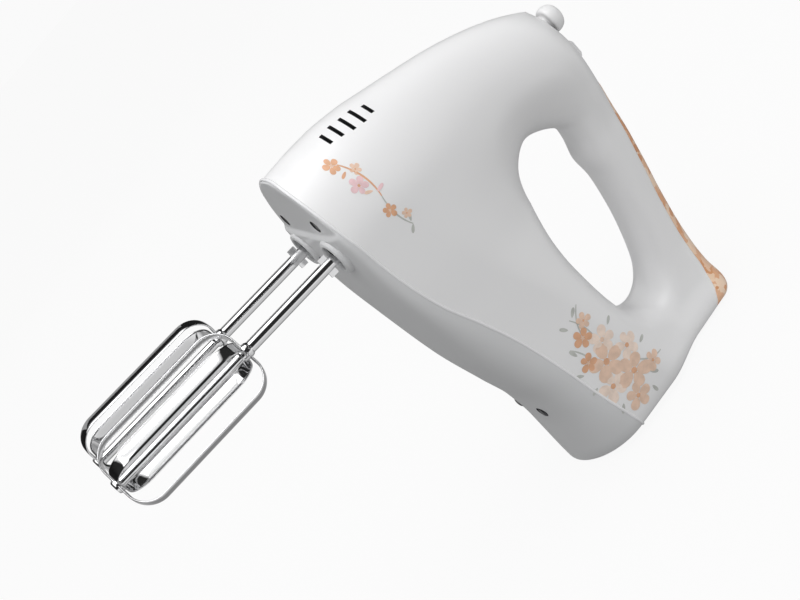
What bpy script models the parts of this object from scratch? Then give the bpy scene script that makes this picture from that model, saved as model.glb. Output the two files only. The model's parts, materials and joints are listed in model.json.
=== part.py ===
"""Hand mixer with two wire beaters, standing on its flat heel.

All dimensions are millimetres in the "use" frame: +x toward the nose, +y toward
the left flank, +z away from the beaters, origin on the mid-plane between the two
spindle axes.  stand() turns that frame into the row frame: the flat heel lies on
z = 0, +Z runs toward the nose and +X toward the handle.
"""
import bpy
import bmesh
import numpy as np
from math import radians, sin, cos, tan, pi, sqrt, atan2

for ob in list(bpy.data.objects):
    bpy.data.objects.remove(ob, do_unlink=True)

# ------------------------------------------------------------ driving dimensions
HEEL_TILT = 5.5            # lean of the heel face from the beater direction, degrees
HEEL_X, HEEL_Z = -173.0, 70.0   # centre of the heel face in the use frame
GAP = 0.3                  # running and seating clearance
WALL = 2.4                 # housing wall

SPACING = 40.0             # distance between the two beater axes
GEAR_Z = 34.0              # height of the motor axis
# outline of the body in side view
NOSE_X = {-10: 43.0, 0: 43.7, 10: 44.3, 20: 44.3, 38: 42.7, 55: 39.4, 70: 36.3,
          90: 31.8, 110: 25.6, 126: 19.0, 138: 12.4, 149: 4.8}
TOP_Z = {-176: 135.0, -166: 136.4, -152: 135.2, -130: 136.6, -107: 139.6, -83: 143.6,
         -62: 146.2, -43: 147.0, -26: 147.4, -12: 147.0, 0: 145.4, 9: 142.2, 14: 139.0, 45: 139.0}
SEAM_Z = {-178: 43.8, -142: 34.0, -115: 28.0, -89: 21.0, -67: 12.8, -46: 4.0, -24: -1.8,
          -11: -4.0, 0: -5.4, 9: -7.0, 24: -8.6, 36: -9.2, 46: -8.4}
PAN_Z = {-180: 12.4, -150: 12.6, -130: 10.6, -110: 4.8, -83: -2.6, -50: -7.8, -25: -11.0,
         0: -12.4, 9.4: -12.8, 12.6: -10.8, 20: -10.8, 36: -10.8, 46: -10.0}
# half widths
BODY_W = {-176: 36.0, -150: 37.6, -120: 37.4, -90: 36.8, -60: 37.2, -30: 38.0,
          0: 37.6, 20: 35.6, 45: 30.0}
HANDLE_W = {-176: 33.0, -165: 27.5, -151: 20.0, -130: 15.5, -100: 14.5, -60: 15.0, -36: 20.0, -10: 26.0,
            10: 27.0, 45: 27.0}
NOSE_ROUND = 46.0          # length of the rounded prow
TOP_ROUND = 14.0           # rounding depth of the handle top
HEEL_ROUND = 11.0
# grip opening, clockwise from the finger notch
GRIP = [(-45, 118.2), (-37.4, 108.5), (-34.5, 97.5), (-41, 87), (-50, 81.3), (-62, 77.6),
        (-74, 75), (-87, 74), (-100, 74.6), (-115, 76.2), (-127, 78.6), (-138, 83), (-143.6, 91),
        (-141, 100), (-133, 106), (-121, 110.4), (-101, 115), (-79, 117.6), (-65, 116.6),
        (-54, 119)]
BEATER_TOP = -71.0         # hub of the wire cage
BEATER_END = -150.6
BEATER_R = 19.2
SHAFT_R = 2.9


def stand(p):
    x, y, z = p[0] - HEEL_X, p[1], p[2] - HEEL_Z
    s, c = sin(radians(HEEL_TILT)), cos(radians(HEEL_TILT))
    return np.array([x * s + z * c, -y, x * c - z * s]) * 0.001


def ease(table, x):
    """Monotone-slope cubic through the stations of a table."""
    xs = np.array(sorted(table), float)
    ys = np.array([table[k] for k in sorted(table)], float)
    d = np.diff(ys) / np.diff(xs)
    m = np.concatenate([[d[0]], np.where(d[:-1] * d[1:] > 0, 2 * d[:-1] * d[1:] /
                        np.where(d[:-1] + d[1:] == 0, 1, d[:-1] + d[1:]), 0.0), [d[-1]]])
    x = min(max(float(x), xs[0]), xs[-1])
    i = min(int(np.searchsorted(xs, x, side='right')) - 1, len(xs) - 2)
    h = xs[i + 1] - xs[i]
    t = (x - xs[i]) / h
    return float((2 * t**3 - 3 * t**2 + 1) * ys[i] + (t**3 - 2 * t**2 + t) * h * m[i] +
                 (-2 * t**3 + 3 * t**2) * ys[i + 1] + (t**3 - t**2) * h * m[i + 1])


def catmull(pts, per):
    pts = np.array(pts, float)
    out = []
    n = len(pts)
    for i in range(n):
        a, b, c, d = pts[i - 1], pts[i], pts[(i + 1) % n], pts[(i + 2) % n]
        for k in range(per):
            t = k / per
            out.append(0.5 * ((2 * b) + (c - a) * t + (2 * a - 5 * b + 4 * c - d) * t * t +
                              (3 * b - a - 3 * c + d) * t**3))
    return np.array(out)


def heel_x(z):
    return HEEL_X + (z - HEEL_Z) * tan(radians(HEEL_TILT))


def sq(t, p):
    t = min(max(t, 0.0), 1.0)
    return (1 - (1 - t) ** p) ** (1 / p)


def half_width(x, z):
    """Half width of the outer body at a point of the side view."""
    lo = ease(SEAM_Z, x) + 27.0
    t = min(max((z - lo) / (99.0 - lo), 0.0), 1.0)
    t = t * t * (3 - 2 * t)
    w = ease(BODY_W, x) * (1 - t) + ease(HANDLE_W, x) * t
    w *= sq((ease(NOSE_X, z) - x) / NOSE_ROUND, 2.1)
    w *= sq((ease(TOP_Z, x) - z) / TOP_ROUND, 2.2)
    r = min(max((x - heel_x(z)) / HEEL_ROUND, 0.0), 1.0)
    w -= HEEL_ROUND * 0.75 * (1 - sqrt(1 - (1 - r) ** 2)) if r < 1 else 0.0
    return max(w, 0.0)


# ------------------------------------------------------------------ collections
scene = bpy.context.scene
parts = bpy.data.collections.new("mixer")
tools = bpy.data.collections.new("cutters")
scene.collection.children.link(parts)
scene.collection.children.link(tools)


def material(name, rgb, rough, metal=0.0):
    m = bpy.data.materials.new(name)
    m.use_nodes = True
    b = m.node_tree.nodes["Principled BSDF"]
    b.inputs["Base Color"].default_value = (*rgb, 1)
    b.inputs["Roughness"].default_value = rough
    b.inputs["Metallic"].default_value = metal
    m.diffuse_color = (*rgb, 1)
    return m


WHITE = material("white_gloss_plastic", (0.83, 0.83, 0.84), 0.25)
GREY = material("grey_plastic", (0.44, 0.45, 0.47), 0.4)
PEACH = material("orange_mottled_plastic", (0.83, 0.46, 0.25), 0.35)
CHROME = material("chrome", (0.75, 0.75, 0.77), 0.08, 1.0)
STEEL = material("steel", (0.55, 0.55, 0.57), 0.3, 1.0)
IRON = material("laminated_iron", (0.30, 0.30, 0.32), 0.45, 1.0)
COPPER = material("copper_wire", (0.72, 0.33, 0.16), 0.35, 1.0)
BRASS = material("brass", (0.80, 0.60, 0.28), 0.3, 1.0)
NYLON = material("nylon", (0.78, 0.76, 0.68), 0.5)
BLACK = material("black_plastic", (0.03, 0.03, 0.03), 0.45)
CARBON = material("carbon", (0.05, 0.05, 0.055), 0.6)
BOARD = material("circuit_board", (0.08, 0.30, 0.14), 0.5)
RUBBER = material("rubber", (0.62, 0.62, 0.62), 0.7)


def build(name, vf, mat, at=(0, 0, 0), coll=None):
    """One mesh object whose origin sits at a point of the use frame."""
    verts, faces = vf
    o = stand(at)
    me = bpy.data.meshes.new(name)
    me.from_pydata([tuple(stand(v) - o) for v in verts], [], faces)
    me.validate()
    bm = bmesh.new()
    bm.from_mesh(me)
    bmesh.ops.recalc_face_normals(bm, faces=bm.faces)
    bm.to_mesh(me)
    bm.free()
    ob = bpy.data.objects.new(name, me)
    ob.location = tuple(o)
    (coll or parts).objects.link(ob)
    if mat:
        me.materials.append(mat)
    return ob


def cutter(name, vf, at=(0, 0, 0)):
    ob = build("cut_" + name, vf, None, at, tools)
    ob.hide_render = True
    ob.display_type = 'WIRE'
    return ob


def cut(ob, tool, op='DIFFERENCE'):
    m = ob.modifiers.new(tool.name, 'BOOLEAN')
    m.operation = op
    m.object = tool
    m.solver = 'EXACT'


# ------------------------------------------------------------------- primitives
def merge(*vfs):
    V, F = [], []
    for v, f in vfs:
        k = len(V)
        V += [tuple(p) for p in v]
        F += [tuple(i + k for i in q) for q in f]
    return V, F


AXES = {"z": ((1, 0, 0), (0, 1, 0), (0, 0, 1)),
        "x": ((0, 1, 0), (0, 0, 1), (1, 0, 0)),
        "y": ((0, 0, 1), (1, 0, 0), (0, 1, 0))}


def geometry(bm):
    """Corners and faces of a bmesh, which is freed."""
    bm.verts.index_update()
    V = [tuple(v.co) for v in bm.verts]
    F = [tuple(v.index for v in f.verts) for f in bm.faces]
    bm.free()
    return V, F


def box(x0, x1, y0, y1, z0, z1):
    bm = bmesh.new()
    bmesh.ops.create_cube(bm, size=1.0)
    bmesh.ops.scale(bm, vec=(x1 - x0, y1 - y0, z1 - z0), verts=bm.verts)
    bmesh.ops.translate(bm, vec=((x0 + x1) / 2, (y0 + y1) / 2, (z0 + z1) / 2), verts=bm.verts)
    return geometry(bm)


def slab(outline, y0, y1, plane="xz"):
    """Prism of an (x, z) or (x, y) outline, extruded from its flat face."""
    bm = bmesh.new()
    if plane == "xz":
        base = [bm.verts.new((p, y0, q)) for p, q in outline]
        rise = (0, y1 - y0, 0)
    else:
        base = [bm.verts.new((p, q, y0)) for p, q in outline]
        rise = (0, 0, y1 - y0)
    face = bm.faces.new(base)
    top = bmesh.ops.extrude_face_region(bm, geom=[face])
    bmesh.ops.translate(bm, vec=rise, verts=[g for g in top["geom"] if isinstance(g, bmesh.types.BMVert)])
    return geometry(bm)


def lathe(prof, at, axis="z", seg=28, phase=0.0):
    """Profile of (r, h) points spun a full turn; a profile that starts and ends
    at r = 0 has poles, and any other is a closed loop."""
    a, b, c = (np.array(q, float) for q in AXES[axis])
    at = np.array(at, float)
    bm = bmesh.new()
    ray = cos(phase) * a + sin(phase) * b
    line = [bm.verts.new(tuple(at + c * h + ray * r)) for r, h in prof]
    edges = [bm.edges.new(pq) for pq in zip(line[:-1], line[1:])]
    if prof[0][0] > 1e-9:
        edges.append(bm.edges.new((line[-1], line[0])))
    bmesh.ops.spin(bm, geom=line + edges, cent=tuple(at), axis=tuple(c), dvec=(0, 0, 0),
                   angle=2 * pi, steps=seg, use_merge=True, use_duplicate=False)
    bmesh.ops.remove_doubles(bm, verts=bm.verts, dist=2e-4)
    return geometry(bm)


def rod(r, h0, h1, at, axis="z", seg=24):
    bm = bmesh.new()
    bmesh.ops.create_cone(bm, cap_ends=True, segments=seg, radius1=r, radius2=r, depth=h1 - h0)
    bmesh.ops.translate(bm, vec=(0, 0, (h0 + h1) / 2), verts=bm.verts)
    a, b, c = (np.array(q, float) for q in AXES[axis])
    V, F = geometry(bm)
    return [tuple(np.array(at, float) + v[0] * a + v[1] * b + v[2] * c) for v in V], F


def tube(ro, ri, h0, h1, at, axis="z", seg=28):
    return lathe([(ri, h0), (ro, h0), (ro, h1), (ri, h1)], at, axis, seg)


def coil(r, wire, z0, z1, turns, at, axis="z", per=12, sec=6):
    """Open helical spring as one closed body."""
    frames = {"z": ((1, 0, 0), (0, 1, 0), (0, 0, 1)), "y": ((0, 0, 1), (1, 0, 0), (0, 1, 0))}
    a, b, c = (np.array(q, float) for q in frames[axis])
    at = np.array(at, float)
    n = int(turns * per)
    V, F = [], []
    for i in range(n + 1):
        t = 2 * pi * i / per
        e = cos(t) * a + sin(t) * b
        mid = at + r * e + c * (z0 + wire + (z1 - z0 - 2 * wire) * i / n)
        for k in range(sec):
            s = 2 * pi * k / sec
            V.append(mid + wire * (cos(s) * e + sin(s) * c))
    for i in range(n):
        for k in range(sec):
            k2 = (k + 1) % sec
            F.append((i * sec + k, i * sec + k2, (i + 1) * sec + k2, (i + 1) * sec + k))
    F.append(tuple(range(sec - 1, -1, -1)))
    F.append(tuple(n * sec + k for k in range(sec)))
    return V, F


# --------------------------------------------------------------------- housing
def coons(nu, nv):
    """Side-view grid between the seam, the nose, the top line and the heel."""
    us = 0.5 * (1 - np.cos(pi * np.linspace(0, 1, nu)))
    us = us * 0.6 + np.linspace(0, 1, nu) * 0.4
    vs = np.linspace(0, 1, nv)
    vs = vs * 0.55 + (1 - (1 - vs) ** 2.2) * 0.45
    x_a, x_b = 43.1, heel_x(43.4)          # seam ends
    x_c, x_d = 9.7, heel_x(134.0)          # top ends
    P = np.zeros((nu, nv, 2))
    za, zb = ease(SEAM_Z, x_a), ease(SEAM_Z, x_b)
    zc, zd = ease(TOP_Z, x_c), ease(TOP_Z, x_d)
    for i, u in enumerate(us):
        xb = x_a + (x_b - x_a) * u
        B = np.array([xb, ease(SEAM_Z, xb)])
        xt = x_c + (x_d - x_c) * u
        T = np.array([xt, ease(TOP_Z, xt)])
        for j, v in enumerate(vs):
            zf = za + (zc - za) * v
            Fr = np.array([ease(NOSE_X, zf), zf])
            zr = zb + (zd - zb) * v
            Re = np.array([heel_x(zr), zr])
            c00, c10 = np.array([ease(NOSE_X, za), za]), np.array([heel_x(zb), zb])
            c01, c11 = np.array([ease(NOSE_X, zc), zc]), np.array([heel_x(zd), zd])
            P[i, j] = ((1 - v) * B + v * T + (1 - u) * Fr + u * Re -
                       ((1 - u) * (1 - v) * c00 + u * (1 - v) * c10 +
                        (1 - u) * v * c01 + u * v * c11))
    return P


def shell_solid(nu=32, nv=22):
    P = coons(nu, nv)
    V, L, R = [], {}, {}
    for i in range(nu):
        for j in range(nv):
            x, z = P[i, j]
            w = half_width(x, z)
            if i == 0 or j == nv - 1:
                w = 0.0
            if w < 0.05:
                L[i, j] = R[i, j] = len(V)
                V.append((x, 0.0, z))
            else:
                L[i, j] = len(V)
                V.append((x, w, z))
                R[i, j] = len(V)
                V.append((x, -w, z))
    F = []

    def add(*q):
        f = []
        for k in q:
            if not f or (k != f[-1] and k != f[0]):
                f.append(k)
        if len(set(f)) >= 3:
            F.append(tuple(f))
    for i in range(nu - 1):
        for j in range(nv - 1):
            add(L[i, j], L[i, j + 1], L[i + 1, j + 1], L[i + 1, j])
            add(R[i, j], R[i + 1, j], R[i + 1, j + 1], R[i, j + 1])
    for j in range(nv - 1):                       # heel
        add(L[nu - 1, j], L[nu - 1, j + 1], R[nu - 1, j + 1], R[nu - 1, j])
    for i in range(nu - 1):                       # seam face
        add(L[i, 0], L[i + 1, 0], R[i + 1, 0], R[i, 0])
    return V, F


housing = build("main_housing", shell_solid(), WHITE)


def grip_cutter():
    line = catmull(GRIP, 2)
    cx = line.mean(0)
    n = len(line)
    nxt, prv = np.roll(line, -1, 0), np.roll(line, 1, 0)
    tang = nxt - prv
    nor = np.stack([tang[:, 1], -tang[:, 0]], 1)
    nor /= np.linalg.norm(nor, axis=1)[:, None]
    if np.sum(nor * (line - cx)) < 0:
        nor = -nor
    # (offset across the mouth, extra offset of the scooped front end)
    layers = [(-46, 10.0, 16.0), (-24, 7.2, 5.0), (-17.5, 5.6, 1.4), (-14, 3.6, 0.4), (-10, 1.1, 0.0),
              (-5, 0.0, 0.0), (5, 0.0, 0.0), (10, 1.1, 0.0), (14, 3.6, 0.4), (17.5, 5.6, 1.4),
              (24, 7.2, 5.0), (46, 10.0, 16.0)]
    V, F = [], []
    for y, o, extra in layers:
        for p, m in zip(line, nor):
            k = (0.5 if m[1] < -0.5 else 1.0 if m[1] > 0 else 1.0 + m[1]) if m[0] < 0.5 else 1.0
            d = o * k + extra * max(m[0], 0.0) ** 1.5
            V.append((p[0] + m[0] * d, y, p[1] + m[1] * d))
    ccw = np.sum(line[:, 0] * nxt[:, 1] - nxt[:, 0] * line[:, 1]) > 0
    for k in range(len(layers) - 1):
        for i in range(n):
            q = (k * n + i, (k + 1) * n + i, (k + 1) * n + (i + 1) % n, k * n + (i + 1) % n)
            F.append(q if ccw else q[::-1])
    a = tuple(range(n))
    b = tuple((len(layers) - 1) * n + i for i in range(n))
    F.append(a if ccw else a[::-1])
    F.append(b[::-1] if ccw else b)
    return V, F


cut(housing, cutter("grip", grip_cutter()))


def cavity(levels, xr, xf, wall, cap=99.0):
    """Hollow made of horizontal sections that follow the outer skin."""
    V, rings = [], []
    N = 14
    for z in levels:
        a, b = xr(z), xf(z)
        ring = []
        for k in range(N + 1):
            t = 0.5 * (1 - cos(pi * k / N))
            x = a + (b - a) * t
            w = half_width(x, max(z, ease(SEAM_Z, x) + 0.5)) - wall
            ring.append((x, min(max(w, 1.2), cap, ease(SHOULDER, z) if x < -26 else 99.0)))
        loop = [(x, w, z) for x, w in ring] + [(x, -w, z) for x, w in reversed(ring)]
        rings.append(list(range(len(V), len(V) + len(loop))))
        V += loop
    F = [tuple(rings[0])]
    for p, q in zip(rings[:-1], rings[1:]):
        m = len(p)
        for k in range(m):
            F.append((p[k], q[k], q[(k + 1) % m], p[(k + 1) % m]))
    F.append(tuple(reversed(rings[-1])))
    return V, F


ROOF = 62.0
SHOULDER = {-20: 60.0, 46: 60.0, 54: 33.0, 62: 27.5, 140: 27.5}
cut(housing, cutter("motor_bay", cavity([-16, -3, 8, 20, 32, 44, 54, ROOF],
                    lambda z: heel_x(z) + 4.0, lambda z: ease(NOSE_X, z) - 4.0, WALL)))
cut(housing, cutter("eject_bay", cavity([56, 70, 84, 98, 112], lambda z: -14.0,
                    lambda z: ease(NOSE_X, z) - 4.5, WALL + 0.6)))
EJECT_X = -2.0
cut(housing, cutter("eject_bore", lathe([(0, 108), (3.3, 108), (3.3, 118.4), (7.9, 118.4),
                    (7.9, 137.4), (5.0, 138.0), (5.0, 141.3), (7.9, 141.3), (7.9, 160), (0, 160)], (EJECT_X, 0, 0), seg=28, phase=0.05)))
SWITCH_X = -20.5
cut(housing, cutter("switch_bay", box(-40.4, -12.9, -9.0, 9.0, 118.1, 133.1)))
cut(housing, cutter("switch_slot", box(-36.4, -14.6, -3.3, 3.3, 132.0, 156.0)))
cut(housing, cutter("wire_way", rod(2.4, 90.0, 120.0, (-15.4, 0, 0), seg=16)))
# louvres
for k in range(5):
    z0 = 20.3 + 6.17 * k
    for side, tag in ((1, "l"), (-1, "r")):
        pts = [(50.0, z0 - 0.9), (50.0, z0 + 0.9), (29.0, z0 + 1.4), (29.0, z0 - 0.4)]
        y0, y1 = (6.0, 24.0 - 0.6 * k) if side > 0 else (-24.0 + 0.6 * k, -6.0)
        cut(housing, cutter("louvre_%s%d" % (tag, k), slab(pts, y0, y1)))
# cord inlet in the heel, clear of the rest face
INLET_Z = 52.0
cut(housing, cutter("cord_inlet", rod(5.6, -186, -156, (0, 0, INLET_Z), "x", 24)))

# ------------------------------------------------------------- handle cover strip
STRIP = {-170: 11.5, -140: 9.4, -100: 7.6, -66: 5.4, -47: 2.2}


def strip(out, inn, grow, x0, x1, nx=26, ny=6):
    V, F = [], []
    for i in range(nx):
        x = x0 + (x1 - x0) * i / (nx - 1)
        zt = ease(TOP_Z, x)
        hw = ease(STRIP, x) + grow
        row = []
        for layer in (out, inn):
            for k in range(ny + 1):
                y = -hw + 2 * hw * k / ny
                # height of the crown at this offset
                wtop = ease(HANDLE_W, x)
                a = min(abs(y) / wtop, 0.98)
                crown = zt - TOP_ROUND * (1 - (1 - a ** 2.2) ** (1 / 2.2))
                row.append((x, y, crown + layer))
        V += row
    m = 2 * (ny + 1)
    for i in range(nx - 1):
        for k in range(ny):
            F.append((i * m + k, (i + 1) * m + k, (i + 1) * m + k + 1, i * m + k + 1))
            b = ny + 1
            F.append((i * m + b + k, i * m + b + k + 1, (i + 1) * m + b + k + 1, (i + 1) * m + b + k))
        F.append((i * m, i * m + ny + 1, (i + 1) * m + ny + 1, (i + 1) * m))
        F.append((i * m + ny, (i + 1) * m + ny, (i + 1) * m + 2 * ny + 1, i * m + 2 * ny + 1))
    for k in range(ny):
        b = ny + 1
        F.append((k, k + 1, b + k + 1, b + k))
        e = (nx - 1) * m
        F.append((e + k, e + b + k, e + b + k + 1, e + k + 1))
    return V, F


build("handle_cover", strip(0.25, -1.6, 0.0, -161.5, -48.0), PEACH)
cut(housing, cutter("cover_bed", strip(4.0, -1.6 - GAP, GAP, -161.5 - GAP, -48.0 + GAP)))

# ------------------------------------------------------------------- sole cover
PAN_E = {-176: 2.0, -110: 2.3, -83: 2.6, -50: 3.2, 0: 3.8, 45: 4.2}   # squareness of its section


def pan_solid(nu=34, nc=8, inset=0.0):
    us = 0.5 * (1 - np.cos(pi * np.linspace(0, 1, nu))) * 0.6 + np.linspace(0, 1, nu) * 0.4
    us = np.sort(np.concatenate([us, [0.139, 0.147, 0.155]]))      # the step before the sockets
    V, rows = [], []
    x_a, x_b, x_p = 42.9 - inset * 1.4, heel_x(43.4) + inset, heel_x(12.4) + inset
    for u in us:
        xs = x_a + (x_b - x_a) * u
        xp = x_a + (x_p - x_a) * u - 0.8 * (1 - u)
        zs, zp = ease(SEAM_Z, xs) - GAP, ease(PAN_Z, xp) + inset
        w = half_width(xs, ease(SEAM_Z, xs) + 0.1) - inset
        row = []
        if w < 0.6:
            w = 0.6
        d = zs - zp
        e = 2 / ease(PAN_E, xs)
        for k in range(nc + 1):
            a = 0.5 * pi * k / nc
            yy = w * (cos(a) ** e if k < nc else 0.0)
            s = sin(a) ** e
            row.append((xs + (xp - xs) * s, yy, zs - d * s))
        full = row + [(x, -y, z) for x, y, z in reversed(row[:-1])]
        rows.append(list(range(len(V), len(V) + len(full))))
        V += full
    F = []
    m = len(rows[0])
    for p, q in zip(rows[:-1], rows[1:]):
        for k in range(m - 1):
            F.append((p[k], p[k + 1], q[k + 1], q[k])[::-1])
        F.append((p[m - 1], p[0], q[0], q[m - 1])[::-1])
    F.append(tuple(rows[0]))
    F.append(tuple(reversed(rows[-1])))
    return V, F


sole = build("sole_cover", pan_solid(), GREY)


def sole_hollow():
    """Trough inside the cover, open upward."""
    V, rows = [], []
    for x in np.linspace(-164.0, -52.0, 14):
        w = half_width(x, ease(SEAM_Z, x) + 0.1) - 6.0
        zs, zp = ease(SEAM_Z, x), ease(PAN_Z, x) + 2.6
        e = 2 / ease(PAN_E, x)
        half = [(w, 62.0)] + [(w * cos(q) ** e, zs - (zs - zp) * sin(q) ** e)
                              for q in (0.0, 0.4, 0.8, 1.2)] + [(0.0, zp)]
        row = [(x, y, z) for y, z in half] + [(x, -y, z) for y, z in reversed(half[:-1])]
        rows.append(list(range(len(V), len(V) + len(row))))
        V += row
    F = []
    m = len(rows[0])
    for p, q in zip(rows[:-1], rows[1:]):
        for k in range(m):
            F.append((p[k], p[(k + 1) % m], q[(k + 1) % m], q[k]))
    F.append(tuple(reversed(rows[0])))
    F.append(tuple(rows[-1]))
    return V, F


cut(sole, cutter("sole_hollow", sole_hollow()))


for s, tag in ((1, "left"), (-1, "right")):
    cut(sole, cutter("socket_%s" % tag, rod(6.9, -24, 4, (0, s * 20.0, 0), seg=28)))
SCREWS = [(17.0, 20.5), (17.0, -20.5), (-138.0, 12.0), (-138.0, -12.0)]
for i, (x, y) in enumerate(SCREWS):
    zf = ease(PAN_Z, x)
    cut(sole, cutter("screw_hole_%d" % i, lathe([(0, zf - 6), (3.4, zf - 6), (3.4, zf + 1.8),
        (1.75, zf + 1.8), (1.75, zf + 40), (0, zf + 40)], (x, y, 0), seg=20)))
# heel side: the inlet needs no room here; a cable notch stays in the housing

# ---------------------------------------------------------------- eject button
build("eject_button", lathe([(0, 118.0), (2.6, 118.0), (2.6, 134.0), (6.1, 134.0),
      (6.1, 136.0), (4.6, 137.0), (4.6, 147.0), (7.0, 147.4), (7.4, 148.2), (7.4, 151.2),
      (6.8, 153.2), (5.0, 154.6), (2.4, 155.2), (0, 155.3)], (EJECT_X, 0, 0), seg=24),
      WHITE, (EJECT_X, 0, 148.0))
yoke = build("eject_yoke", box(-5.5, 5.5, -23.4, 23.4, 60.0, 63.0), BLACK, (0, 0, 60.0))
cut(yoke, cutter("yoke_post", rod(2.8, 62.0, 117.7, (EJECT_X, 0, 0), seg=20)), 'UNION')
for s, tag in ((1, "l"), (-1, "r")):
    cut(yoke, cutter("yoke_pin_%s" % tag, rod(2.2, 22.3, 61.0, (0, s * 20.0, 0), seg=16)), 'UNION')
build("eject_spring", coil(7.0, 0.45, 120.6, 137.4, 5, (EJECT_X, 0, 0), "z", 10, 5), STEEL)
build("spring_seat", tube(7.6, 3.2, 118.7, 120.3, (EJECT_X, 0, 0), seg=24), BLACK)

# ------------------------------------------------------------------ speed switch
sw = build("speed_switch", slab([(-26.2, 148.0), (-14.6, 147.7), (-15.2, 149.2), (-17.0, 150.4),
           (-24.0, 150.9), (-25.6, 150.0)], -4.6, 4.6), WHITE, (SWITCH_X, 0, 149.0))
cut(sw, cutter("switch_stem", box(-22.8, -17.8, -2.9, 2.9, 130.0, 148.9)), 'UNION')
build("switch_block", box(-39.8, -14.2, -8.4, 8.4, 118.4, 129.6), BLACK, (-27, 0, 124))

# ------------------------------------------------------------------ drive
G = GEAR_Z
WORM_R, WHEEL_R, TEETH = 7.1, 12.5, 14


def worm_shaft():
    """Armature shaft with a single-start worm at its front end, axis along x."""
    seg = 20
    st = []
    st += [(-94.0, 0.0), (-94.0, 2.6), (-86.5, 2.6), (-86.5, 3.5), (-20.0, 3.5), (-15.0, 4.4)]
    V, rings = [], []

    def ring(x, rf):
        if rf is None:
            rings.append([len(V)])
            V.append((x, 0.0, G))
            return
        rings.append(list(range(len(V), len(V) + seg)))
        for k in range(seg):
            t = 2 * pi * k / seg
            r = rf(t)
            V.append((x, r * cos(t), G + r * sin(t)))
    ring(-94.0, None)
    for x, r in st[1:]:
        ring(x, lambda t, r=r: r)
    n = 24
    for i in range(n + 1):
        x = -14.0 + 28.0 * i / n
        ring(x, lambda t, x=x: 5.9 + (WORM_R - 5.9) * cos(t - 2 * pi * x / 5.52))
    for x, r in ((15.0, 4.4), (18.0, 4.4), (18.0, 2.6), (24.0, 2.6)):
        ring(x, lambda t, r=r: r)
    ring(24.0, None)
    F = []
    for p, q in zip(rings[:-1], rings[1:]):
        for k in range(seg):
            k2 = (k + 1) % seg
            if len(p) == 1:
                F.append((p[0], q[k2], q[k]))
            elif len(q) == 1:
                F.append((p[k], p[k2], q[0]))
            else:
                F.append((p[k], p[k2], q[k2], q[k]))
    return V, F


build("worm_shaft", worm_shaft(), STEEL, (0, 0, G))
for s, tag in ((1, "left"), (-1, "right")):
    out = []
    for k in range(TEETH):
        for f, r in ((-0.32, 10.6), (-0.15, WHEEL_R), (0.0, WHEEL_R), (0.15, WHEEL_R), (0.32, 10.6)):
            a = 2 * pi * (k + f) / TEETH
            out.append((r * cos(a), s * 20.0 + r * sin(a)))
    sp = build("spindle_%s" % tag, slab(out, G - 5.0, G + 4.0, "xy"), NYLON, (0, s * 20.0, G))
    cut(sp, cutter("hub_%s" % tag, rod(6.0, -11.0, G + 10.0, (0, s * 20.0, 0), seg=28)), 'UNION')
    cut(sp, cutter("bore_%s" % tag, rod(3.2, -14.0, G + 14.0, (0, s * 20.0, 0), seg=24)))

core = []
for k in range(8):
    for f, r in ((-0.42, 9.0), (-0.42, 12.2), (-0.46, 12.6), (-0.40, 13.5), (-0.2, 13.6),
                 (0.0, 13.6), (0.2, 13.6), (0.40, 13.5), (0.46, 12.6), (0.42, 12.2), (0.42, 9.0)):
        a = 2 * pi * (k + f) / 8
        core.append((r, a))


def prism_x(outline, x0, x1):
    """Prism of a (y, z) outline along x."""
    n = len(outline)
    V = [(x0, a, b) for a, b in outline] + [(x1, a, b) for a, b in outline]
    F = [tuple(range(n - 1, -1, -1)), tuple(range(n, 2 * n))]
    F += [(i, (i + 1) % n, n + (i + 1) % n, n + i) for i in range(n)]
    return V, F


arm = build("armature_core", prism_x([(r * cos(a), G + r * sin(a)) for r, a in core], -70.0, -42.0),
            IRON, (-56, 0, G))
cut(arm, cutter("core_bore", rod(3.8, -72, -40, (0, 0, G), "x", 24)))
com = build("commutator", tube(8.0, 3.8, -84.5, -73.5, (0, 0, G), "x", 24), COPPER, (-79, 0, G))
fan_out = []
for k in range(9):
    for f, r in ((-0.36, 7.0), (-0.12, 7.4), (-0.02, 18.6), (0.10, 18.8), (0.06, 7.4)):
        a = 2 * pi * (k + f) / 9
        fan_out.append((r * cos(a), G + r * sin(a)))
fan = build("cooling_fan", prism_x(fan_out, -36.5, -29.5), BLACK, (-33, 0, G))
cut(fan, cutter("fan_disc", rod(18.2, -31.2, -29.0, (0, 0, G), "x", 32)), 'UNION')
cut(fan, cutter("fan_bore", rod(3.8, -40, -26, (0, 0, G), "x", 24)))

# ------------------------------------------------------------------ motor
stator = build("stator_core", box(-70.0, -42.0, -20.0, 20.0, G - 21.5, G + 21.5), IRON, (-56, 0, G))
cut(stator, cutter("stator_bore", rod(14.3, -74, -38, (0, 0, G), "x", 36)))
for sy in (1, -1):
    for sz in (1, -1):
        y = sorted((sy * 8.7, sy * 17.8))
        z = sorted((G + sz * 14.6, G + sz * 19.2))
        cut(stator, cutter("window_%d%d" % (sy > 0, sz > 0), box(-74, -38, y[0], y[1], z[0], z[1])))
for sz, tag in ((1, "upper"), (-1, "lower")):
    z = sorted((G + sz * 14.9, G + sz * 18.9))
    fc = build("field_coil_%s" % tag, box(-73.0, -39.0, -17.5, 17.5, z[0], z[1]), COPPER,
               (-56, 0, G + sz * 17))
    cut(fc, cutter("coil_eye_%s" % tag, box(-70.4, -41.6, -9.0, 9.0, z[0] - 2, z[1] + 2)))
BRUSH_X = -79.0
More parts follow.
